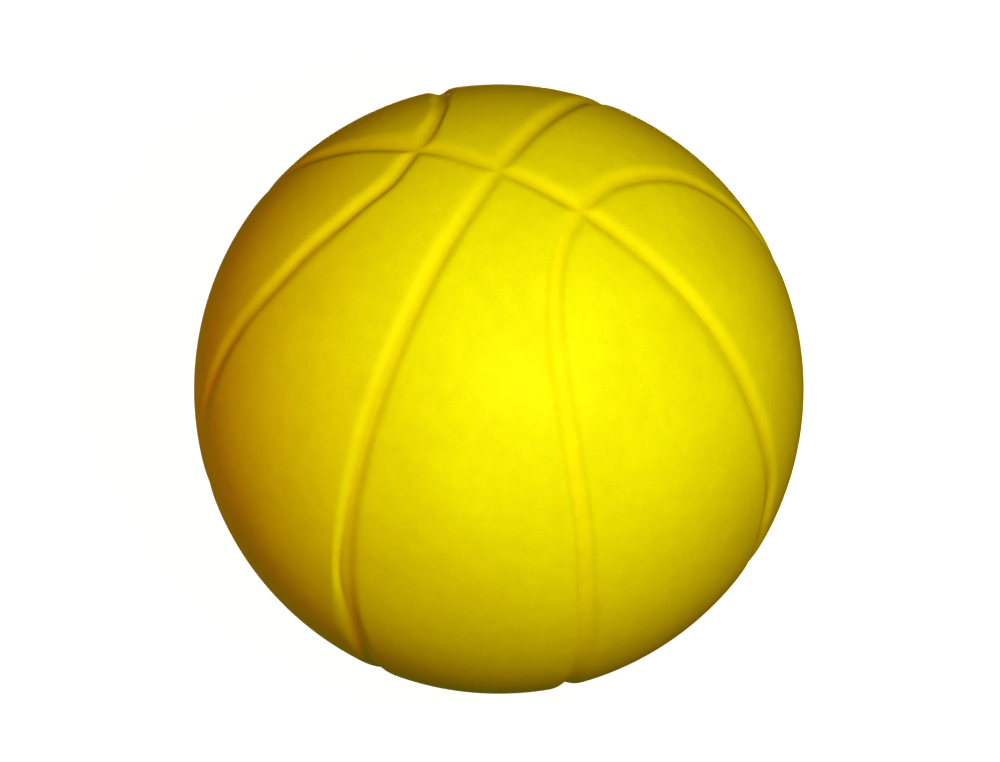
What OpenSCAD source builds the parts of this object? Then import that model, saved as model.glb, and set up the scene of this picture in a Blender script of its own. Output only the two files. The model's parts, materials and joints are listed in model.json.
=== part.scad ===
// Moulded rubber playground ball with eight cover panels.
// The ball's centre is the origin. The two ring seams lie in the planes X = 0 and Y = 0 and cross at
// the top and bottom poles. One oval seam runs round each end of the X axis. The valve points to +Y.
// Half a turn about X, Y or Z brings the seams back onto themselves, so one long panel, one end panel
// and one strip of each kind are drawn at the right and back, and the others are those turned over.

/* [Ball] */
// Outside diameter of the inflated ball
ball_d = 216; // [178:1:254]

/* [Channels] */
// Width of a sunken channel between the panels, from wall to wall
channel_w = 5.4; // [3.5:0.1:6]
// Depth of the channel floor below the ball's surface
channel_depth = 1.6; // [1:0.1:2.2]

/* [Oval seams] */
// Angle from the X axis to an oval seam at the poles, where the oval is longest
oval_long = 73; // [70:0.5:76]
// Angle from the X axis to an oval seam halfway between its long and short directions
oval_mid = 54.6; // [52:0.2:57]
// Angle from the X axis to an oval seam level with the valve, where the oval is narrowest
oval_short = 45; // [42:0.5:48]
// Number of straight steps that an oval seam is made of
oval_steps = 96; // [48:4:120]

/* [Wall] */
// Thickness of the rubber strip on the floor of a channel
strip_t = 0.4; // [0.3:0.05:0.8]
// Thickness of the rubber carcass under the panels and strips
carcass_t = 0.5; // [0.4:0.05:1]
// Thickness of the nylon thread winding
winding_t = 0.3; // [0.2:0.05:0.6]
// Thickness of the butyl bladder
bladder_t = 0.6; // [0.4:0.05:1]

/* [Valve] */
// Radius of the round recess that the panels leave around the valve
recess_r = 7; // [6.5:0.1:8]
// Radius of the valve's round outer head
head_r = 5.6; // [5:0.1:6]
// How far the top of the head lies below the ball's surface
head_drop = 0.5; // [0.3:0.1:0.9]
// Radius of the valve's neck, where it passes through the wall
neck_r = 4; // [3.6:0.1:4.4]
// Radius of the valve's inner flange
flange_r = 9; // [7:0.5:12]
// Thickness of the valve's inner flange
flange_t = 1.4; // [1:0.1:2]
// Radius of the valve's barrel inside the ball
barrel_r = 4.6; // [4.4:0.1:6]
// Length of the valve's barrel, from the inner flange into the ball
barrel_l = 13; // [11:0.5:18]
// Radius of the needle hole
needle_r = 1.1; // [0.9:0.05:1.3]
// Length of the needle hole below its funnel
needle_l = 5; // [4.5:0.1:5.5]
// Depth of the funnel that leads a needle in
funnel_l = 0.6; // [0.4:0.1:0.8]
// Radius of the self-closing core
core_r = 2.6; // [2.2:0.1:2.9]
// Radius of the stiffening pad between the bladder and the flange
pad_r = 15; // [13:0.5:20]
// Thickness of the stiffening pad
pad_t = 0.6; // [0.4:0.1:1]

/* [Hidden] */

// Radius of the outer face of each layer, from the cover inwards
ball_r = ball_d / 2;
floor_r = ball_r - channel_depth;
carcass_r = floor_r - strip_t;
winding_r = carcass_r - carcass_t;
bladder_r = winding_r - winding_t;
pad_outer_r = bladder_r - bladder_t;
flange_outer_r = pad_outer_r - pad_t;
flange_inner_r = flange_outer_r - flange_t;

// Heights along the valve's axis, measured from the ball's centre
head_top = ball_r - head_drop;
core_top = head_top - funnel_l - needle_l;
barrel_end = flange_inner_r - barrel_l;

half_w = channel_w / 2;
funnel_r = needle_r + funnel_l;
// A length beyond the ball, for blocks that cut it
reach = 4 * ball_r;
// Radii inside and outside the cover, between which the oval cuts are drawn
near_r = 0.7 * ball_r;
far_r = 1.4 * ball_r;
// The wide side of a long panel's cut lies past the middle seam, at this angle from the X axis
past_middle = 96;

$fn = 96;
right = 0;
left = 180;
back = 0;
front = 180;

// A direction in space, at an angle from the X axis and turned round it, from the top towards the valve
function way(angle, turn) = [cos(angle), sin(angle) * sin(turn), sin(angle) * cos(turn)];

// The oval seam's angle from the X axis, which swings smoothly between its long, mid and short values
function oval_angle(turn) =
    let (mean = (oval_long + oval_short) / 2, swing = (oval_long - oval_short) / 2)
    (mean + oval_mid) / 2 + swing * cos(2 * turn) + (mean - oval_mid) / 2 * cos(4 * turn);

function oval_way(turn) = way(oval_angle(turn), turn);

function unit(v) = v / norm(v);

// The oval seam's direction moved sideways over the ball's surface, away from the X axis if positive
function moved_way(turn, shift) =
    let (here = oval_way(turn), along = unit(oval_way(turn + 1) - oval_way(turn - 1)))
    unit(here + cross(here, along) * shift / ball_r);

function oval_turns() = [for (i = [0:oval_steps - 1]) 360 * i / oval_steps];

function oval_rim(shift) = [for (turn = oval_turns()) moved_way(turn, shift)];

function wide_rim() = [for (turn = oval_turns()) way(past_middle, turn)];

// All that lies inside one rim of directions round the X axis: a cone with its point at the centre
module cone_in(rim) {
    count = len(rim);
    tip = count;
    cap = count + 1;
    polyhedron(
        points = concat(rim * reach, [[0, 0, 0], [reach, 0, 0]]),
        faces = [
            for (i = [0:count - 1])
                let (next = (i + 1) % count)
                each [[i, next, tip], [next, i, cap]]
        ]
    );
}

// The ring between two rims of directions round the X axis. Its sides are radial.
module band_between(inner, outer) {
    count = len(inner);
    polyhedron(
        points = concat(inner * near_r, inner * far_r, outer * far_r, outer * near_r),
        faces = [
            for (side = [0:3], i = [0:count - 1])
                let (next = (i + 1) % count, from = side * count, to = (side + 1) % 4 * count)
                each [[to + next, from + next, from + i], [to + i, to + next, from + i]]
        ]
    );
}

// Turns a right-hand back piece over to the left, to the front or both
module turned(x_side, y_side) {
    rotate([0, x_side, 0]) rotate([y_side, 0, 0]) children();
}

module layer(outer_r, inner_r) {
    difference() {
        sphere(r = outer_r);
        sphere(r = inner_r);
    }
}

// The half of space behind the ring seam's channel
module behind_ring() {
    translate([-reach, half_w, -reach]) cube([2 * reach, reach, 2 * reach]);
}

// The quarter of space behind the ring seam's channel and to the right of the middle seam's
module right_back_quarter() {
    translate([half_w, half_w, -reach]) cube([reach, reach, 2 * reach]);
}

// A round bar along the valve's axis, between two heights from the ball's centre
module valve_bar(r, low, high) {
    rotate([-90, 0, 0]) translate([0, 0, low]) cylinder(r = r, h = high - low);
}

// A long panel between the middle seam and one oval seam
module long_panel(x_side, y_side) {
    turned(x_side, y_side) difference() {
        intersection() {
            sphere(r = ball_r);
            right_back_quarter();
            band_between(oval_rim(half_w), wide_rim());
        }
        sphere(r = carcass_r);
        if (y_side == back) valve_bar(recess_r, near_r, far_r);
    }
}

// Half of the oval panel at one end of the ball
module end_panel(x_side, y_side) {
    turned(x_side, y_side) intersection() {
        layer(ball_r, carcass_r);
        cone_in(oval_rim(-half_w));
        behind_ring();
    }
}

// Half of the strip on the floor of one oval channel
module oval_channel(x_side, y_side) {
    turned(x_side, y_side) difference() {
        intersection() {
            behind_ring();
            band_between(oval_rim(-half_w), oval_rim(half_w));
            sphere(r = floor_r);
        }
        sphere(r = carcass_r);
    }
}

// The strip on the floor of the middle channel, from one pole round to the other
module middle_channel() {
    intersection() {
        layer(floor_r, carcass_r);
        translate([-half_w, half_w, -reach]) cube([channel_w, reach, 2 * reach]);
    }
}

// The stretch of the middle channel's strip between the valve's head and the top pole
module valve_channel() {
    difference() {
        middle_channel();
        valve_bar(head_r, near_r, far_r);
        translate([-reach, 0, -2 * reach]) cube([2 * reach, reach, 2 * reach]);
    }
}

module front_right_panel() {
    color("gold") long_panel(right, front);
}

module front_left_panel() {
    color("gold") long_panel(left, front);
}

module back_right_panel() {
    color("gold") long_panel(right, back);
}

module back_left_panel() {
    color("gold") long_panel(left, back);
}

module right_end_panel_front() {
    color("gold") end_panel(right, front);
}

module right_end_panel_back() {
    color("gold") end_panel(right, back);
}

module left_end_panel_front() {
    color("gold") end_panel(left, front);
}

module left_end_panel_back() {
    color("gold") end_panel(left, back);
}

// The strip under the ring seam is one whole ring, and the other strips butt on it
module ring_channel() {
    color("goldenrod") rotate([90, 0, 0]) intersection() {
        layer(floor_r, carcass_r);
        translate([-reach, -reach, -half_w]) cube([2 * reach, 2 * reach, channel_w]);
    }
}

module front_middle_channel() {
    color("goldenrod") turned(right, front) middle_channel();
}

module channel_above_valve() {
    color("goldenrod") valve_channel();
}

module channel_below_valve() {
    color("goldenrod") turned(left, back) valve_channel();
}

module right_oval_channel_front() {
    color("goldenrod") oval_channel(right, front);
}

module right_oval_channel_back() {
    color("goldenrod") oval_channel(right, back);
}

module left_oval_channel_front() {
    color("goldenrod") oval_channel(left, front);
}

module left_oval_channel_back() {
    color("goldenrod") oval_channel(left, back);
}

module carcass() {
    color("orange") difference() {
        layer(carcass_r, winding_r);
        valve_bar(neck_r, near_r, far_r);
    }
}

module winding() {
    color("ivory") difference() {
        layer(winding_r, bladder_r);
        valve_bar(neck_r, near_r, far_r);
    }
}

module bladder() {
    color("dimgray") difference() {
        layer(bladder_r, pad_outer_r);
        valve_bar(neck_r, near_r, far_r);
    }
}

// A round pad cured to the inside of the bladder
module valve_pad() {
    color("gray") difference() {
        intersection() {
            layer(pad_outer_r, flange_outer_r);
            valve_bar(pad_r, near_r, far_r);
        }
        valve_bar(neck_r, near_r, far_r);
    }
}

// Head on the carcass, neck through the wall, flange under the pad, and barrel inside the ball
module valve_stem() {
    color("khaki") difference() {
        union() {
            intersection() {
                layer(head_top, carcass_r);
                valve_bar(head_r, near_r, far_r);
            }
            valve_bar(neck_r, flange_inner_r, floor_r);
            intersection() {
                layer(flange_outer_r, flange_inner_r);
                valve_bar(flange_r, near_r, far_r);
            }
            valve_bar(barrel_r, barrel_end, flange_outer_r - flange_t / 2);
        }
        valve_bar(needle_r, core_top - 1, far_r);
        valve_bar(core_r, near_r, core_top);
        rotate([-90, 0, 0]) translate([0, 0, head_top - funnel_l])
            cylinder(r1 = needle_r, r2 = funnel_r + funnel_l, h = 2 * funnel_l);
    }
}

// The core fills the barrel. Its slit is shut when no needle is in it.
module valve_core() {
    color("saddlebrown") valve_bar(core_r, barrel_end, core_top);
}

front_right_panel();
front_left_panel();
back_right_panel();
back_left_panel();
right_end_panel_front();
right_end_panel_back();
left_end_panel_front();
left_end_panel_back();
ring_channel();
front_middle_channel();
channel_above_valve();
channel_below_valve();
right_oval_channel_front();
right_oval_channel_back();
left_oval_channel_front();
left_oval_channel_back();
carcass();
winding();
bladder();
valve_pad();
valve_stem();
valve_core();
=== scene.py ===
"""A moulded rubber playground ball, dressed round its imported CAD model.

The ball's centre is the origin. The ring seam lies in the plane Y = 0 and the middle seam in the
plane X = 0, and they cross at the top and the bottom. An oval seam runs round each end of the X
axis, and the valve points to +Y. Each cover panel and each channel strip is a closed solid of mesh:
its outer face follows one height function of direction, so neighbours meet without a step.
"""
import json
import math

import bmesh
import bpy
import numpy as np
from mathutils import Matrix, Vector


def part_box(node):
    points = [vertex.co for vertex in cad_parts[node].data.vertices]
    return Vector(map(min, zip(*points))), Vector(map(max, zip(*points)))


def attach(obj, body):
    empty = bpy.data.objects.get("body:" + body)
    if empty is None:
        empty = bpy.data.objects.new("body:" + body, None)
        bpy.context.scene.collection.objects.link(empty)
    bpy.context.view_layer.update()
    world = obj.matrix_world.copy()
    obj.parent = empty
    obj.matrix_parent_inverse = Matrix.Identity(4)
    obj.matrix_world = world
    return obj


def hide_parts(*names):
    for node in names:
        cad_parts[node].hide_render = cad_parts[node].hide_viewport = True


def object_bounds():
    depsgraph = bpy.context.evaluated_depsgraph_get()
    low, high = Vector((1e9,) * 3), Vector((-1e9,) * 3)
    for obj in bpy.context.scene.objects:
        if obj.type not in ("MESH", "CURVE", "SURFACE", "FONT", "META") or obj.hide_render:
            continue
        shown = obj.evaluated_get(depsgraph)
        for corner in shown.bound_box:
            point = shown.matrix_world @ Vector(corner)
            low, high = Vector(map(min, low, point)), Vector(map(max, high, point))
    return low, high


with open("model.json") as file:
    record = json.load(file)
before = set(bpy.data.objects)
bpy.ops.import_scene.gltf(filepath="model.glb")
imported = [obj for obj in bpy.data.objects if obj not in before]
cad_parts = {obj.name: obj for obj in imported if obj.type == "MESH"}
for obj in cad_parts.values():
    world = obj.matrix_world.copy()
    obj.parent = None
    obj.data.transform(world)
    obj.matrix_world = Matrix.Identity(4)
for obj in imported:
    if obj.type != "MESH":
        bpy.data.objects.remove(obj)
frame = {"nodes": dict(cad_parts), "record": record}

MM = 0.001
cad_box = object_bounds()

# ---------------------------------------------------------------- sizes from the frame, in metres
half_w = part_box("front_middle_channel")[1].x
floor_r = -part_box("front_middle_channel")[0].y
carcass_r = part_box("carcass")[1].x
ball_r = math.hypot(cad_box[1].x, half_w)
channel_depth = ball_r - floor_r
head_r = math.hypot(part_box("channel_above_valve")[0].z, half_w)
head_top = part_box("valve_stem")[1].y
barrel_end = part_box("valve_stem")[0].y
flange_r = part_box("valve_stem")[1].x
core_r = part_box("valve_core")[1].x
core_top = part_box("valve_core")[1].y
pad_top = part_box("valve_pad")[1].y

# The oval seam's angle from the X axis at the poles, halfway, and level with the valve
OVAL_LONG, OVAL_MID, OVAL_SHORT = (math.radians(a) for a in (73, 54.6, 45))
# The valve's recess is this many times as wide as its head
RECESS_SHARE = 1.25
recess_r = RECESS_SHARE * head_r

# ---------------------------------------------------------------- the shape of a channel
# A channel is a soft hollow, half as deep at its edge as in its middle. The higher the power, the
# flatter its floor and the steeper its walls.
SOFT_POWER = 2.4
# How sharply two channels' walls meet where they cross, and how steep the valve's recess is
CORNER_POWER = 4
RECESS_STEEPNESS = 1.8
# The whole cover is uneven by this much, in slow waves of about this length
UNEVEN = 0.05 * MM
UNEVEN_LENGTH = 55 * MM

# ---------------------------------------------------------------- how finely the meshes are drawn
# A band of rows follows each panel's rim. The rows are closest at the rim.
BAND = 5.5 * MM
BAND_ROWS = 13
BAND_POWER = 1.3
# Cells along the runs of a long panel's rim, and of an end panel's
CELLS_ACROSS = 24
CELLS_ALONG = 226
CELLS_END_SIDE = 62
CELLS_END_TOP = 176
CELLS_RECESS = 34
# Cells along the ring strip and the other strips, and rows from a strip's middle to its edge
CELLS_RING = 1100
CELLS_STRIP = 540
STRIP_ROWS = 8
# Cells round each side of the strip's half collar at the valve, and rows across it
COLLAR_CELLS = 40
COLLAR_ROWS = 7
# How much shorter the steps are at the ends of a run
PINCH = 0.75
# Sides of the turned valve pieces, and steps in the arc of a rounded corner
STEM_SIDES = 128
CORE_SIDES = 64
CORNER_STEPS = 14
# Steps that close in on the nearest point of an oval seam, and on the place where two seams meet
NEAREST_STEPS = 4
MEETING_STEPS = 40
# Edges that bend by more than this are shaded sharp
SHARP_EDGE = math.radians(50)
# A radius below this lies on the valve's axis
ON_AXIS = 1e-9

# ---------------------------------------------------------------- where the seams are uneven
# Where a seam wanders: the seam, the place along it in degrees, how far it moves sideways and over
# what length. The ring is measured from the top to the right, the middle seam from the top to the
# front, and an oval from the top towards the valve. WANDER_ACROSS is how far to the side it reaches.
WANDER_ACROSS = 13 * MM
WANDERS = [
    ("ring", -28, -0.5 * MM, 30 * MM),
    ("ring", -2, -0.6 * MM, 14 * MM),
    ("ring", 44, 1.0 * MM, 30 * MM),
    ("ring", 97, -2.4 * MM, 14 * MM),
    ("middle", 7, 0.9 * MM, 22 * MM),
    ("middle", -38, -1.2 * MM, 22 * MM),
    ("middle", 60, -0.9 * MM, 40 * MM),
    ("middle", 80, -1.1 * MM, 22 * MM),
    ("middle", 88, -1.3 * MM, 15 * MM),
    ("middle", 108, 1.9 * MM, 20 * MM),
    ("left_oval", 20, -1.2 * MM, 8 * MM),
    ("left_oval", -10, 1.6 * MM, 9 * MM),
    ("left_oval", -28, -0.8 * MM, 10 * MM),
    ("right_oval", 28, 1.3 * MM, 14 * MM),
    ("right_oval", -1, -0.7 * MM, 14 * MM),
    ("right_oval", 72, 0.7 * MM, 34 * MM),
    ("right_oval", -55, 0.5 * MM, 20 * MM),
    ("right_oval", -103, -0.7 * MM, 20 * MM),
]
# How the channels vary: the seam, the place along it in degrees, the side of the seam (0 is both),
# the power added there, the shares by which the channel is wider and shallower, and over what length
CUTS = [
    ("middle", 3, 0, 0.0, -0.08, 0.35, 22 * MM),
    ("middle", 48, 0, 0.4, 0.10, 0.28, 30 * MM),
    ("middle", 80, -1, 0.4, -0.18, 0.0, 28 * MM),
    ("middle", 84, 1, 0.3, 0.36, 0.20, 28 * MM),
    ("middle", 88, -1, 0.8, -0.20, 0.0, 16 * MM),
    ("middle", 88, 1, 0.6, 0.40, 0.0, 18 * MM),
    ("middle", 101, -1, -0.5, 0.50, 0.0, 14 * MM),
    ("middle", -42, 0, 0.0, 0.0, 0.35, 18 * MM),
    ("ring", -9, 0, 0.0, 0.0, 0.40, 10 * MM),
    ("ring", -22, 1, -0.9, 0.50, 0.0, 22 * MM),
    ("ring", 48, -1, -0.9, 0.15, 0.0, 32 * MM),
    ("ring", 28, 0, 0.0, 0.0, 0.20, 16 * MM),
    ("ring", 62, 0, 0.0, 0.10, 0.20, 20 * MM),
    ("ring", 80, 0, 0.0, 0.10, 0.50, 18 * MM),
    ("ring", -30, 0, 0.0, 0.0, 0.20, 16 * MM),
    ("ring", -52, 0, 0.0, 0.0, 0.45, 24 * MM),
    ("left_oval", 16, 0, 1.4, -0.06, 0.0, 24 * MM),
    ("left_oval", 10, 1, 0.0, -0.30, 0.0, 14 * MM),
    ("left_oval", -30, 0, 0.0, -0.06, 0.15, 20 * MM),
    ("left_oval", -30, 1, -0.5, 0.20, 0.0, 18 * MM),
    ("left_oval", -47, 0, 0.0, 0.0, 0.50, 15 * MM),
    ("left_oval", -63, 0, -0.4, 0.0, 0.35, 16 * MM),
    ("left_oval", -86, 0, 0.0, 0.0, 0.60, 22 * MM),
    ("right_oval", -18, 0, 0.6, -0.14, 0.0, 16 * MM),
    ("right_oval", -62, 0, 1.4, 0.08, 0.05, 40 * MM),
    ("right_oval", -92, 0, 0.6, 0.12, 0.0, 22 * MM),
    ("right_oval", 34, 0, 0.0, 0.0, 0.40, 34 * MM),
    ("right_oval", 150, 0, 1.0, 0.0, 0.0, 40 * MM),
    ("middle", -120, 0, 1.0, 0.08, 0.0, 40 * MM),
]
# Across this length, what is said of one side of a seam fades into the other
SIDE_BLEND = 1.0 * MM


# ---------------------------------------------------------------- directions and seams
def unit(ways):
    return ways / np.linalg.norm(ways, axis=-1, keepdims=True)


def directions(x, y, z):
    return np.stack(np.broadcast_arrays(x, y, z), -1).astype(float)


def oval_angle(turn):
    """The oval seam's angle from the X axis, turned round it from the top towards the valve."""
    mean = (OVAL_LONG + OVAL_SHORT) / 2
    swing = (OVAL_LONG - OVAL_SHORT) / 2
    return (mean + OVAL_MID) / 2 + swing * np.cos(2 * turn) + (mean - OVAL_MID) / 2 * np.cos(4 * turn)


def oval_frame(turn):
    """The oval seam's direction, how it changes with the turn, and the way square to it, outwards."""
    def at(t):
        angle = oval_angle(t)
        return directions(np.cos(angle), np.sin(angle) * np.sin(t), np.sin(angle) * np.cos(t))

    step = 1e-4
    here, ahead, behind = (at(t) for t in (turn, turn + step, turn - step))
    along = (ahead - behind) / (2 * step)
    return here, along, unit(np.cross(here, along))


def oval_way(turn, shift):
    """The oval seam moved sideways by a distance, away from the X axis if positive."""
    here, _, side = oval_frame(turn)
    return here * np.cos(shift / ball_r) + side * np.sin(shift / ball_r)


def oval_gap(ways):
    """How far each direction is outside the nearer oval seam, over the ball's surface."""
    right = directions(np.abs(ways[..., 0]), ways[..., 1], ways[..., 2])
    turn = np.arctan2(ways[..., 1], ways[..., 2])
    for _ in range(NEAREST_STEPS):
        here, along, _ = oval_frame(turn)
        turn = turn + np.sum((right - here) * along, -1) / np.sum(along * along, -1)
    side = oval_frame(turn)[2]
    return ball_r * np.arcsin(np.clip(np.sum(right * side, -1), -1, 1))


def ring_way(angle, gap):
    """The ring seam from the top to the right, moved towards the valve by a distance."""
    y = gap / ball_r
    across = np.sqrt(1 - y * y)
    return directions(across * np.sin(angle), y, across * np.cos(angle))


def middle_way(angle, gap):
    """The middle seam from the top towards the valve, moved to the right by a distance."""
    x = gap / ball_r
    across = np.sqrt(1 - x * x)
    return directions(x, across * np.sin(angle), across * np.cos(angle))


def valve_way(angle, radius):
    """A circle round the valve's axis, from the top to the right."""
    x, z = radius / ball_r * np.sin(angle), radius / ball_r * np.cos(angle)
    return directions(x, np.sqrt(1 - x * x - z * z), z)


def oval_start(shift, gap):
    """The turn at which the oval seam, moved by shift, is a distance from the ring seam."""
    low, high = 0.0, math.pi / 4
    for _ in range(MEETING_STEPS):
        turn = (low + high) / 2
        if ball_r * oval_way(turn, shift)[1] < gap:
            low = turn
        else:
            high = turn
    return turn


def seam_place(seam, degrees):
    """A point of a seam, as a direction, with the ways along the seam and square to it."""
    a = math.radians(degrees)
    if seam == "ring":
        here, along = ring_way(a, 0.0), ring_way(a + math.pi / 2, 0.0)
    elif seam == "middle":
        here, along = middle_way(-a, 0.0), middle_way(-a - math.pi / 2, 0.0)
    else:
        here, along, side = oval_frame(a)
        if seam == "left_oval":
            flip = np.array([-1, 1, 1])
            here, along, side = here * flip, along * flip, side * flip
        return here, unit(along), side
    side = np.array([0.0, 1.0, 0.0] if seam == "ring" else [1.0, 0.0, 0.0])
    return here, along, side


def near(ways, seam, degrees, length):
    """How near each direction is to a place on a seam, from 0 to 1, and the way square to it."""
    here, along, side = seam_place(seam, degrees)
    forward = ball_r * (ways - here) @ along / length
    sideways = ball_r * (ways - here) @ side / WANDER_ACROSS
    return np.exp(-forward**2 - sideways**2) * (ways @ here > 0), side


def wandered(ways):
    """Moves directions sideways where the seams wander."""
    moved = ways.copy()
    for seam, degrees, shift, length in WANDERS:
        weight, side = near(ways, seam, degrees, length)
        moved += weight[..., None] * side * shift / ball_r
    return unit(moved)


# ---------------------------------------------------------------- the height of the cover
def seam_gaps(ways):
    """Signed distances from each seam: positive is back, right, or away from the X axis."""
    from_oval = oval_gap(ways)
    return {
        "ring": ball_r * ways[..., 1],
        "middle": ball_r * ways[..., 0],
        "left_oval": from_oval,
        "right_oval": from_oval,
    }


def channel_gap(ways, gaps):
    """Distance from the middle of the nearest channel, rounded off where channels cross."""
    from_axis = ball_r * np.hypot(ways[..., 0], ways[..., 2])
    recess = half_w + RECESS_STEEPNESS * (from_axis - recess_r)
    least = 1e-3 * MM
    distances = [np.abs(gaps[seam]) for seam in ("ring", "middle", "right_oval")]
    distances.append(np.where(ways[..., 1] > 0, recess, ball_r))
    return sum(np.maximum(d, least) ** -CORNER_POWER for d in distances) ** (-1 / CORNER_POWER)


def outer_radius(ways):
    """The cover's outer radius in each direction."""
    gaps = seam_gaps(ways)
    power, half_width, depth = SOFT_POWER, half_w, channel_depth
    for seam, degrees, one_side, squarer, wider, shallower, length in CUTS:
        share = near(ways, seam, degrees, length)[0]
        if one_side:
            share = share * (1 + np.tanh(one_side * gaps[seam] / SIDE_BLEND)) / 2
        power = power + squarer * share
        half_width = half_width * (1 + wider * share)
        depth = depth * (1 - shallower * share)
    sunk = depth * 0.5 ** ((channel_gap(ways, gaps) / half_width) ** power)
    waves = sum(
        np.sin(ways @ np.array(axis) * 2 * math.pi * ball_r / UNEVEN_LENGTH + phase)
        for axis, phase in (((1, 0.3, 0.2), 0), ((-0.2, 0.9, 0.5), 2), ((0.3, -0.5, 0.8), 4))
    )
    return ball_r - sunk - UNEVEN * (waves + 3) / 6


# ---------------------------------------------------------------- meshes
def spread(cells, start=0.0, end=1.0):
    """Steps from start to end that are shorter near both ends, without the last."""
    u = np.arange(cells) / cells
    return start + (end - start) * (u - PINCH * np.sin(2 * math.pi * u) / (2 * math.pi))


def make_object(name, points, faces, material, replaced):
    mesh = bpy.data.meshes.new(name)
    mesh.from_pydata([tuple(p) for p in points], [], faces)
    work = bmesh.new()
    work.from_mesh(mesh)
    bmesh.ops.recalc_face_normals(work, faces=work.faces[:])
    work.to_mesh(mesh)
    work.free()
    mesh.shade_smooth()
    mesh.set_sharp_from_angle(angle=SHARP_EDGE)
    mesh.materials.append(material)
    piece = bpy.data.objects.new(name, mesh)
    bpy.context.scene.collection.objects.link(piece)
    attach(piece, "root")
    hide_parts(replaced)
    return piece


def cover_piece(name, ways, faces, material, replaced):
    """A closed solid between the carcass and the cover's outer face, with walls round its rim."""
    count = len(ways)
    moved = wandered(ways)
    radius = outer_radius(ways)
    points = np.concatenate([moved * radius[:, None], moved * carcass_r])
    edges = {}
    for face in faces:
        for a, b in zip(face, face[1:] + face[:1]):
            if edges.pop((b, a), None) is None:
                edges[a, b] = True
    below = [tuple(i + count for i in reversed(face)) for face in faces]
    walls = [(b, a, a + count, b + count) for a, b in edges]
    piece = make_object(name, points, faces + below + walls, material, replaced)
    # The level is 1 on top of the cover and 0 on a channel's floor; the rubber uses it to paint shade
    # low in the channels
    height = np.concatenate([(radius - floor_r) / channel_depth] * 2)
    level = piece.data.attributes.new("level", "FLOAT", "POINT")
    level.data.foreach_set("value", np.clip(height, 0, 1).astype(np.float32))
    return piece


def grid_faces(index, closed=False):
    """Quads between neighbouring rows and columns of a grid of point numbers."""
    if closed:
        index = np.concatenate([index, index[:, :1]], 1)
    return [
        (int(index[i, j]), int(index[i, j + 1]), int(index[i + 1, j + 1]), int(index[i + 1, j]))
        for i in range(index.shape[0] - 1)
        for j in range(index.shape[1] - 1)
    ]


def filled_panel(rim):
    """Directions and faces inside a rim: rows that follow the edge, then a grid within the last row.

    rim(depth) gives the four runs of the edge, a distance in from it. Opposite runs match in number.
    """
    rows = []
    for row in range(BAND_ROWS + 1):
        runs = rim(BAND * (row / BAND_ROWS) ** BAND_POWER)
        rows.append(np.concatenate(runs))
    per_row = len(rows[0])
    band = np.arange(len(rows) * per_row).reshape(len(rows), per_row)
    wide, tall = len(runs[0]), len(runs[1])
    loop = list(band[-1]) + [band[-1][0]]
    edge = np.concatenate([rows[-1], rows[-1][:1]])
    south, east = slice(0, wide + 1), slice(wide, wide + tall + 1)
    north, west = slice(wide + tall, 2 * wide + tall + 1), slice(2 * wide + tall, None)
    u = np.linspace(0, 1, wide + 1)[:, None, None]
    v = np.linspace(0, 1, tall + 1)[None, :, None]
    low, high = edge[south][:, None], edge[north][::-1][:, None]
    near, far = edge[west][::-1][None], edge[east][None]
    corners = (
        (1 - u) * (1 - v) * low[0, 0] + u * (1 - v) * low[-1, 0]
        + (1 - u) * v * high[0, 0] + u * v * high[-1, 0]
    )
    inside = unit((1 - v) * low + v * high + (1 - u) * near + u * far - corners)
    index = np.empty((wide + 1, tall + 1), int)
    index[1:-1, 1:-1] = len(rows) * per_row + np.arange((wide - 1) * (tall - 1)).reshape(wide - 1, -1)
    index[:, 0], index[:, -1] = loop[south], loop[north][::-1]
    index[0, :], index[-1, :] = loop[west][::-1], loop[east]
    ways = np.concatenate([*rows, inside[1:-1, 1:-1].reshape(-1, 3)])
    faces = grid_faces(band, closed=True)
    faces += [tuple(reversed(f)) for f in grid_faces(index)]
    return ways, faces


def long_rim(with_valve):
    """The edge of a long panel at the right and back, a distance in from its channels."""
    def rim(depth):
        gap = half_w + depth
        start = oval_start(gap, gap)
        corner = math.asin(gap / ball_r / math.sqrt(1 - (gap / ball_r) ** 2))
        top = oval_way(start, gap)
        tip = math.atan2(top[0], top[2])
        if with_valve:
            round_r = recess_r + depth
            mouth = math.acos(gap / round_r)
            level = math.asin(round_r * math.sin(mouth) / ball_r / math.sqrt(1 - (gap / ball_r) ** 2))
            line = (CELLS_ALONG - CELLS_RECESS) // 2
            middle = np.concatenate([
                middle_way(spread(line, math.pi - corner, math.pi / 2 + level), gap),
                valve_way(spread(CELLS_RECESS, math.pi / 2 + mouth, math.pi / 2 - mouth), round_r),
                middle_way(spread(line, math.pi / 2 - level, corner), gap),
            ])
        else:
            middle = middle_way(spread(CELLS_ALONG, math.pi - corner, corner), gap)
        return [
            ring_way(spread(CELLS_ACROSS, corner, tip), gap),
            oval_way(spread(CELLS_ALONG, start, math.pi - start), gap),
            ring_way(spread(CELLS_ACROSS, math.pi - tip, math.pi - corner), gap),
            middle,
        ]
    return rim


def end_rim(depth):
    """The edge of half an oval end panel at the right and back, a distance in from its channels."""
    gap = half_w + depth
    start = oval_start(-gap, gap)
    top = oval_way(start, -gap)
    tip = math.atan2(top[0], top[2])
    turns = spread(2 * CELLS_END_SIDE + CELLS_END_TOP, math.pi - start, start)
    arc = oval_way(turns, -gap)
    return [
        ring_way(spread(CELLS_END_TOP, tip, math.pi - tip), gap),
        arc[:CELLS_END_SIDE],
        arc[CELLS_END_SIDE:-CELLS_END_SIDE],
        arc[-CELLS_END_SIDE:],
    ]


def turned(ways, left, front):
    """Turns right-hand back pieces over by half a turn, to the front, to the left or both."""
    if front:
        ways = ways * np.array([1, -1, -1])
    if left:
        ways = ways * np.array([-1, 1, -1])
    return ways


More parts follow.
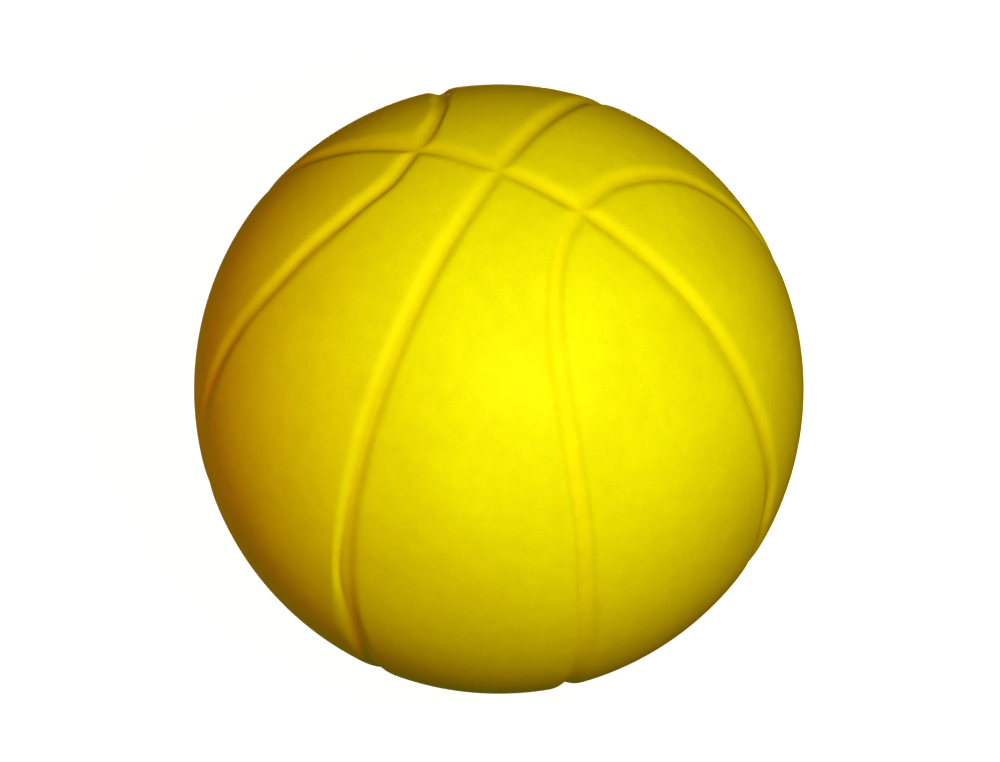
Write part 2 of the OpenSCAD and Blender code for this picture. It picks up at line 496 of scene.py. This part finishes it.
def strip_rows():
    """Distances across a channel's strip, closer together at the walls."""
    side = np.linspace(0, 1, STRIP_ROWS) * half_w
    return np.concatenate([-side[:0:-1], side])


def strip(way_at, starts, ends, cells):
    """A strip's directions and faces: one row for each distance across it, between its own ends."""
    rows = [
        way_at(start + (end - start) * np.linspace(0, 1, cells + 1), gap)
        for gap, start, end in zip(strip_rows(), starts, ends)
    ]
    index = np.arange(len(rows) * (cells + 1)).reshape(len(rows), -1)
    return np.concatenate(rows), grid_faces(index)


def ring_strip():
    rows = [ring_way(2 * math.pi * np.arange(CELLS_RING) / CELLS_RING, gap) for gap in strip_rows()]
    index = np.arange(len(rows) * CELLS_RING).reshape(len(rows), -1)
    return np.concatenate(rows), grid_faces(index, closed=True)


def ring_edge_angle(gap):
    """The middle strip's angle from the top where it meets the ring strip's edge."""
    return math.asin(half_w / ball_r / math.sqrt(1 - (gap / ball_r) ** 2))


def middle_strip():
    starts = [ring_edge_angle(gap) for gap in strip_rows()]
    return strip(middle_way, starts, [math.pi - a for a in starts], CELLS_STRIP)


def oval_strip():
    starts = [oval_start(gap, half_w) for gap in strip_rows()]
    return strip(oval_way, starts, [math.pi - a for a in starts], CELLS_STRIP)


def valve_strip():
    """The strip from the valve's head up to the top pole, with a half collar round the head."""
    gaps = strip_rows()
    mouth = np.arcsin(gaps / recess_r)
    sides = np.linspace(mouth[-1], math.pi / 2, COLLAR_CELLS)[1:]
    angles = np.concatenate([-sides[::-1], mouth, sides])
    radii = np.linspace(head_r, recess_r, COLLAR_ROWS)
    collar = np.stack([valve_way(angles, radius) for radius in radii])
    first = len(sides)
    ends = [ring_edge_angle(gap) for gap in gaps]
    starts = [
        math.asin(recess_r * math.cos(a) / ball_r / math.sqrt(1 - (gap / ball_r) ** 2))
        for gap, a in zip(gaps, mouth)
    ]
    cells = CELLS_STRIP // 2
    share = np.linspace(0, 1, cells + 1)
    columns = np.stack([
        middle_way(math.pi / 2 - start + (end - math.pi / 2 + start) * share, gap)
        for gap, start, end in zip(gaps, starts, ends)
    ], 1)
    collar_index = np.arange(len(radii) * len(angles)).reshape(len(radii), -1)
    line_index = collar_index.size + np.arange(cells * len(gaps)).reshape(cells, -1)
    line_index = np.concatenate([collar_index[-1:, first:first + len(gaps)], line_index])
    ways = np.concatenate([collar.reshape(-1, 3), columns[1:].reshape(-1, 3)])
    return ways, grid_faces(collar_index) + grid_faces(line_index)


# ---------------------------------------------------------------- the valve, turned on a lathe
def rounded(outline):
    """An outline of (radius, height, corner radius) with each corner drawn as an arc."""
    made = []
    for i, (r, h, corner) in enumerate(outline):
        here = np.array([r, h])
        before = np.array(outline[i - 1][:2]) - here
        after = np.array(outline[(i + 1) % len(outline)][:2]) - here
        if corner == 0:
            made.append(here)
            continue
        a, b = before / np.linalg.norm(before), after / np.linalg.norm(after)
        half = math.acos(np.clip(a @ b, -1, 1)) / 2
        inset = corner / math.tan(half)
        centre = here + (a + b) / np.linalg.norm(a + b) * corner / math.sin(half)
        start, end = here + a * inset - centre, here + b * inset - centre
        sweep = math.pi - 2 * half
        for t in np.linspace(0, 1, CORNER_STEPS + 1):
            arm = math.sin((1 - t) * sweep) * start + math.sin(t * sweep) * end
            made.append(centre + arm / math.sin(sweep))
    return made


def lathe(name, outline, sides, material, replaced):
    """Turns a closed outline round the valve's axis. Points on the axis are shared."""
    ring = np.arange(sides) * 2 * math.pi / sides
    points, index = [], []
    for r, h in outline:
        if r < ON_AXIS:
            index.append([len(points)] * sides)
            points.append((0, h, 0))
            continue
        index.append(list(range(len(points), len(points) + sides)))
        points += [(r * math.sin(a), h, r * math.cos(a)) for a in ring]
    faces = []
    for upper, lower in zip(index, index[1:] + index[:1]):
        for j in range(sides):
            k = (j + 1) % sides
            corners = [upper[j], upper[k], lower[k], lower[j]]
            face = [c for n, c in enumerate(corners) if c not in corners[:n]]
            if len(face) > 2:
                faces.append(face)
    return make_object(name, points, faces, material, replaced)


def on_sphere(radius, r):
    """The height of a sphere of that radius, a distance r from the valve's axis."""
    return math.sqrt(radius**2 - r**2)


def valve_outline():
    """The stem's outline from the core's top, up the needle hole, out over the head and down."""
    hole = next(m for m in frame["record"]["mounts"] if m["name"] == "needle_hole")["dims"]
    needle_r = hole["r_mm"] * MM
    funnel_l = head_top - core_top - hole["length_mm"] * MM
    neck_r = 4.0 * MM
    barrel_r = 4.6 * MM
    flange_top = pad_top - 0.6 * MM
    flange_t = 1.4 * MM
    dish = 0.25 * MM
    lip = 0.9 * MM
    return [
        (core_r, core_top, 0),
        (needle_r, core_top, 0),
        (needle_r, head_top - funnel_l, 0.3 * MM),
        (needle_r + funnel_l, head_top - dish, 0.3 * MM),
        (head_r - 2 * lip, head_top - dish, 1.2 * MM),
        (head_r - lip, head_top, 0.35 * MM),
        (head_r, head_top - 0.1 * MM, 0.4 * MM),
        (head_r, on_sphere(carcass_r, head_r), 0),
        (neck_r, on_sphere(carcass_r, neck_r), 0),
        (neck_r, on_sphere(flange_top, neck_r), 0),
        (flange_r, on_sphere(flange_top, flange_r), 0.3 * MM),
        (flange_r, on_sphere(flange_top - flange_t, flange_r), 0.5 * MM),
        (barrel_r, on_sphere(flange_top - flange_t, barrel_r), 1.0 * MM),
        (barrel_r, barrel_end, 0.8 * MM),
        (core_r, barrel_end, 0),
    ]


def core_outline():
    """The core's outline, with a shallow dimple where a needle goes in."""
    dimple = 0.3 * MM
    return [
        (0, core_top - dimple, 0),
        (0.6 * MM, core_top, 0.3 * MM),
        (core_r, core_top, 0),
        (core_r, barrel_end, 0),
        (0, barrel_end, 0),
    ]


# ---------------------------------------------------------------- materials
# Lengths in the rubber: of its slow colour change, its clouds and speckles, the gaps between pale
# flecks, its rubbed places, and its coarse and fine grain
SLOW_CHANGE = 38 * MM
CLOUD = 6 * MM
SPECKLE = 0.8 * MM
FLECK_SPACING = 3.2 * MM
RUBBED = 14 * MM
COARSE_GRAIN = 1.5 * MM
FINE_GRAIN = 0.45 * MM
# Heights of the coarse grain, the fine grain and the flecks, and how coarse the thread's waves are
COARSE_HEIGHT = 0.02 * MM
FINE_HEIGHT = 0.008 * MM
FLECK_HEIGHT = 0.05 * MM
THREAD_SPACING = 4 * MM
THREAD_HEIGHT = 0.15 * MM


def node(tree, kind, inputs=None, **settings):
    """Adds a node, sets it, and gives each input a number, a colour or another node's output."""
    made = tree.nodes.new(kind)
    for key, value in settings.items():
        setattr(made, key, value)
    for key, value in (inputs or {}).items():
        if isinstance(value, bpy.types.NodeSocket):
            tree.links.new(value, made.inputs[key])
        else:
            made.inputs[key].default_value = value
    return made


def new_material(name, roughness, specular):
    material = bpy.data.materials.new(name)
    material.use_nodes = True
    shader = material.node_tree.nodes["Principled BSDF"]
    shader.inputs["Roughness"].default_value = roughness
    shader.inputs["Specular IOR Level"].default_value = specular
    return material, material.node_tree, shader


def mottle(tree, place, length, low, high, detail=2.0):
    """Noise of about that wavelength, stretched to run from 0 to 1 between low and high."""
    inputs = {"Vector": place, "Scale": 1 / length, "Detail": detail}
    noise = node(tree, "ShaderNodeTexNoise", inputs)
    return node(
        tree, "ShaderNodeMapRange",
        {"Value": noise.outputs["Fac"], "From Min": low, "From Max": high},
    ).outputs["Result"]


def blend_colour(tree, factor, a, b):
    mix = node(tree, "ShaderNodeMix", data_type="RGBA")
    for key, value in (("Factor", factor), ("A", a), ("B", b)):
        socket = next(s for s in mix.inputs if s.name == key and s.enabled)
        if isinstance(value, bpy.types.NodeSocket):
            tree.links.new(value, socket)
        else:
            socket.default_value = value
    return next(s for s in mix.outputs if s.enabled)


def maths(tree, operation, a, b):
    return node(tree, "ShaderNodeMath", {0: a, 1: b}, operation=operation).outputs[0]


def bump(tree, height, distance, strength=1.0, normal=None):
    inputs = {"Height": height, "Distance": distance, "Strength": strength}
    if normal is not None:
        inputs["Normal"] = normal
    return node(tree, "ShaderNodeBump", inputs).outputs["Normal"]


def rubber(name, fresh, aged, sunk, roughness=0.55, specular=0.12):
    """Moulded rubber: slow colour change, painted shade of a deeper orange low in the channels, grain
    and pale flecks.
    """
    material, tree, shader = new_material(name, roughness, specular)
    place = node(tree, "ShaderNodeTexCoord").outputs["Object"]
    slow = mottle(tree, place, SLOW_CHANGE, 0.35, 0.68)
    colour = blend_colour(tree, slow, fresh, aged)
    # Painted shade: low in the channels the colour turns towards sunk, a deeper orange, standing in
    # for the shade there. A piece without the level attribute reads 0 and takes mostly this colour all
    # over.
    level = node(tree, "ShaderNodeAttribute", attribute_name="level").outputs["Fac"]
    depth = node(
        tree, "ShaderNodeMapRange",
        {"Value": level, "From Min": 0.95, "From Max": 0.05, "To Min": 0.0, "To Max": 0.8},
    ).outputs["Result"]
    colour = blend_colour(tree, depth, colour, sunk)
    cells = node(
        tree, "ShaderNodeTexVoronoi",
        {"Vector": place, "Scale": 1 / FLECK_SPACING, "Randomness": 1.0},
    )
    fleck = node(
        tree, "ShaderNodeMapRange",
        {"Value": cells.outputs["Distance"], "From Min": 0.10, "From Max": 0.04},
    ).outputs["Result"]
    pick = node(tree, "ShaderNodeSeparateColor", {"Color": cells.outputs["Color"]}).outputs["Red"]
    chosen = node(tree, "ShaderNodeMath", {0: pick, 1: 0.86}, operation="GREATER_THAN").outputs[0]
    fleck = maths(tree, "MULTIPLY", fleck, chosen)
    pale = [min(1.0, 0.75 * c + 0.25) for c in fresh[:3]] + [1.0]
    colour = blend_colour(tree, maths(tree, "MULTIPLY", fleck, 0.5), colour, pale)
    speckle = mottle(tree, place, SPECKLE, 0.3, 0.7, detail=3.0)
    cloud = mottle(tree, place, CLOUD, 0.3, 0.7, detail=3.0)
    shade = node(
        tree, "ShaderNodeMapRange",
        {"Value": maths(tree, "ADD", speckle, cloud), "From Max": 2.0, "To Min": 0.88, "To Max": 1.0},
    ).outputs["Result"]
    colour = node(tree, "ShaderNodeVectorMath", {0: colour, 1: shade}, operation="MULTIPLY").outputs[0]
    tree.links.new(colour, shader.inputs["Base Color"])
    rub = mottle(tree, place, RUBBED, 0.3, 0.75, detail=4.0)
    rough = node(
        tree, "ShaderNodeMapRange",
        {"Value": rub, "To Min": roughness - 0.06, "To Max": roughness + 0.08},
    ).outputs["Result"]
    tree.links.new(rough, shader.inputs["Roughness"])
    coarse = mottle(tree, place, COARSE_GRAIN, 0.2, 0.8, detail=3.0)
    fine = mottle(tree, place, FINE_GRAIN, 0.2, 0.8, detail=2.0)
    normal = bump(tree, coarse, COARSE_HEIGHT)
    normal = bump(tree, fine, FINE_HEIGHT, normal=normal)
    normal = bump(tree, fleck, FLECK_HEIGHT, normal=normal)
    tree.links.new(normal, shader.inputs["Normal"])
    return material


def thread(name):
    """Nylon thread wound close together in crossing layers and bonded with latex."""
    material, tree, shader = new_material(name, 0.45, 0.4)
    place = node(tree, "ShaderNodeTexCoord").outputs["Object"]
    waves = []
    for turn in ((0.3, 0.2, 0.0), (1.2, 0.9, 0.4), (2.1, 0.4, 1.3)):
        laid = node(tree, "ShaderNodeMapping", {"Vector": place, "Rotation": turn}).outputs["Vector"]
        wave = node(
            tree, "ShaderNodeTexWave",
            {
                "Vector": laid, "Scale": 1 / THREAD_SPACING,
                "Distortion": 1.2, "Detail": 1.0, "Detail Scale": 0.4,
            },
        )
        waves.append(wave.outputs["Fac"])
    cross = maths(tree, "MAXIMUM", maths(tree, "MAXIMUM", waves[0], waves[1]), waves[2])
    colour = blend_colour(tree, cross, (0.45, 0.40, 0.28, 1), (0.86, 0.83, 0.72, 1))
    tree.links.new(colour, shader.inputs["Base Color"])
    tree.links.new(bump(tree, cross, THREAD_HEIGHT), shader.inputs["Normal"])
    return material


# ---------------------------------------------------------------- pieces
def make_panels(material):
    for side in ("right", "left"):
        for depth in ("front", "back"):
            left, front = side == "left", depth == "front"
            ways, faces = filled_panel(long_rim(with_valve=not front))
            name = f"{depth}_{side}_panel"
            ways = turned(ways, left, front)
            cover_piece("moulded_" + name, ways, faces, material, name)
            ways, faces = filled_panel(end_rim)
            name = f"{side}_end_panel_{depth}"
            ways = turned(ways, left, front)
            cover_piece("moulded_" + name, ways, faces, material, name)


def make_strips(material):
    def add(name, made, left, front):
        ways, faces = made
        cover_piece("moulded_" + name, turned(ways, left, front), faces, material, name)

    add("ring_channel", ring_strip(), False, False)
    add("front_middle_channel", middle_strip(), False, True)
    add("channel_above_valve", valve_strip(), False, False)
    add("channel_below_valve", valve_strip(), True, False)
    for side in ("right", "left"):
        for depth in ("front", "back"):
            add(f"{side}_oval_channel_{depth}", oval_strip(), side == "left", depth == "front")


def make_valve(stem_material, core_material):
    stem, core = rounded(valve_outline()), rounded(core_outline())
    lathe("moulded_valve_stem", stem, STEM_SIDES, stem_material, "valve_stem")
    lathe("moulded_valve_core", core, CORE_SIDES, core_material, "valve_core")


def dress_cad(materials):
    """Gives the CAD nodes that stay their own materials."""
    for name, material in materials.items():
        mesh = frame["nodes"][name].data
        mesh.materials.clear()
        mesh.materials.append(material)


# ---------------------------------------------------------------- camera, floor and light
CAMERA_BACK = Vector((0.3389, -0.6078, 0.7182)).normalized()
CAMERA_UP = Vector((-0.3466, 0.6290, 0.6959)).normalized()
CAMERA_RIGHT = CAMERA_UP.cross(CAMERA_BACK)
# The lens in mm, the distance in ball radii, and where the camera aims, from the ball's centre
CAMERA_LENS = 156.6
CAMERA_DISTANCE = 14.3
AIM_RIGHT = 0.4 * MM
AIM_UP = 0.026 * ball_r
FLOOR_REACH = 6.0
FLOOR_GLOW = 0.97


def seen(right, up, back):
    """A direction given by how far right, up and towards the camera it goes."""
    return (CAMERA_RIGHT * right + CAMERA_UP * up + CAMERA_BACK * back).normalized()


def make_camera():
    data = bpy.data.cameras.new("camera")
    data.lens = CAMERA_LENS
    camera = bpy.data.objects.new("camera", data)
    aim = CAMERA_RIGHT * AIM_RIGHT + CAMERA_UP * AIM_UP
    turn = Matrix((CAMERA_RIGHT, CAMERA_UP, CAMERA_BACK)).transposed()
    place = aim + CAMERA_BACK * CAMERA_DISTANCE * ball_r
    camera.matrix_world = Matrix.Translation(place) @ turn.to_4x4()
    data.clip_start = 0.1
    data.clip_end = 100
    bpy.context.scene.collection.objects.link(camera)
    bpy.context.scene.camera = camera


def make_floor():
    mesh = bpy.data.meshes.new("floor")
    signs = ((-1, -1), (1, -1), (1, 1), (-1, 1))
    corners = [(x * FLOOR_REACH, y * FLOOR_REACH, -ball_r) for x, y in signs]
    mesh.from_pydata(corners, [], [(0, 1, 2, 3)])
    material, _, shader = new_material("floor", 0.9, 0.0)
    shader.inputs["Base Color"].default_value = (0.9, 0.9, 0.9, 1)
    shader.inputs["Emission Color"].default_value = (1, 1, 1, 1)
    shader.inputs["Emission Strength"].default_value = FLOOR_GLOW
    mesh.materials.append(material)
    floor = bpy.data.objects.new("floor", mesh)
    bpy.context.scene.collection.objects.link(floor)
    floor.visible_diffuse = False
    floor.visible_glossy = False
    floor.visible_shadow = False


def make_lamp(name, direction, distance, size, power, colour):
    data = bpy.data.lights.new(name, "AREA")
    data.shape = "DISK"
    data.size = size
    data.energy = power
    data.color = colour
    lamp = bpy.data.objects.new(name, data)
    lamp.location = direction * distance
    lamp.rotation_mode = "QUATERNION"
    lamp.rotation_quaternion = direction.to_track_quat("Z", "Y")
    lamp.visible_camera = False
    bpy.context.scene.collection.objects.link(lamp)


def make_world(seen_colour, light_colour):
    """The background is pale where the camera sees it, and lights the ball in another colour."""
    world = bpy.data.worlds.new("studio")
    bpy.context.scene.world = world
    world.use_nodes = True
    tree = world.node_tree
    tree.nodes.clear()
    direct = node(tree, "ShaderNodeBackground", {"Color": seen_colour, "Strength": 1.0})
    glow = node(tree, "ShaderNodeBackground", {"Color": light_colour, "Strength": 1.0})
    path = node(tree, "ShaderNodeLightPath").outputs["Is Camera Ray"]
    mix = node(tree, "ShaderNodeMixShader", {0: path, 1: glow.outputs[0], 2: direct.outputs[0]})
    node(tree, "ShaderNodeOutputWorld", {"Surface": mix.outputs[0]})


def make_light():
    front = seen(0.19, 0.08, 1.0)
    make_lamp("near_key", front, 5 * ball_r, 0.10, 2.22, (0.28, 1, 0.08))
    make_lamp("far_key", front, 12 * ball_r, 0.10, 12.1, (1, 0, 0.04))
    make_lamp("side_glow", seen(-1.0, 0.0, 0.0), 7 * ball_r, 0.5, 1.0, (1, 0.15, 0.03))
    make_lamp("back", seen(0.0, 0.1, -1.0), 7 * ball_r, 0.4, 6.0, (1, 0.84, 0.1))
    make_world((0.97, 0.97, 0.97, 1), (0.117, 0.110, 0.012, 1))
    bpy.context.scene.view_settings.view_transform = "Standard"


# ---------------------------------------------------------------- the scene
make_camera()
# The third colour, a deeper orange, is painted shade low in the channels
yellow = rubber(
    "yellow_rubber", (0.84, 0.82, 0.003, 1), (0.80, 0.76, 0.002, 1), (0.87, 0.77, 0.002, 1)
)
make_panels(yellow)
make_strips(yellow)
make_valve(
    rubber("valve_rubber", (0.62, 0.52, 0.20, 1), (0.56, 0.46, 0.16, 1), (0.5, 0.4, 0.1, 1)),
    rubber("core_rubber", (0.22, 0.13, 0.06, 1), (0.18, 0.10, 0.05, 1), (0.15, 0.08, 0.04, 1)),
)
black = rubber("butyl_rubber", (0.03, 0.03, 0.03, 1), (0.05, 0.05, 0.05, 1), (0.03, 0.03, 0.03, 1))
dress_cad({
    "carcass": rubber(
        "carcass_rubber", (0.72, 0.32, 0.02, 1), (0.66, 0.28, 0.02, 1), (0.7, 0.3, 0.02, 1)
    ),
    "winding": thread("nylon_thread"),
    "bladder": black,
    "valve_pad": black,
})
make_floor()
make_light()
